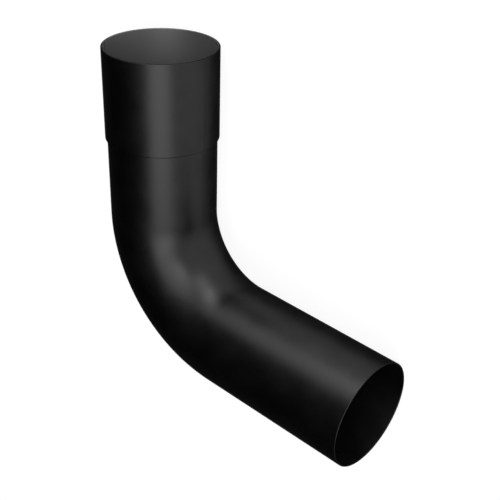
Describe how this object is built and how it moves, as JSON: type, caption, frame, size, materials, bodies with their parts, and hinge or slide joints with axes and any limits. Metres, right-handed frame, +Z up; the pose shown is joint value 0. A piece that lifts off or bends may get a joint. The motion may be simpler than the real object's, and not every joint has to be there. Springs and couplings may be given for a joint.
{
  "type": "downpipe bend",
  "caption": "Round metal rainwater downpipe bend of nearly a right angle, with a swaged socket at one end and a plain spigot at the other, black.",
  "frame": {"origin": "centre of the socket's mouth, on the socket's axis", "axes": "+Y along the socket's axis, out of its mouth; the bend turns towards +X; +Z up, square to the plane of the bend, which lies on its side on a floor at z = -39.45 mm"},
  "size_m": [0.2327, 0.2391, 0.079],
  "materials": {
    "coated_tube": "satin"
  },
  "bodies": {
    "root": {"downpipe_bend": "coated_tube"}
  },
  "joints": []
}
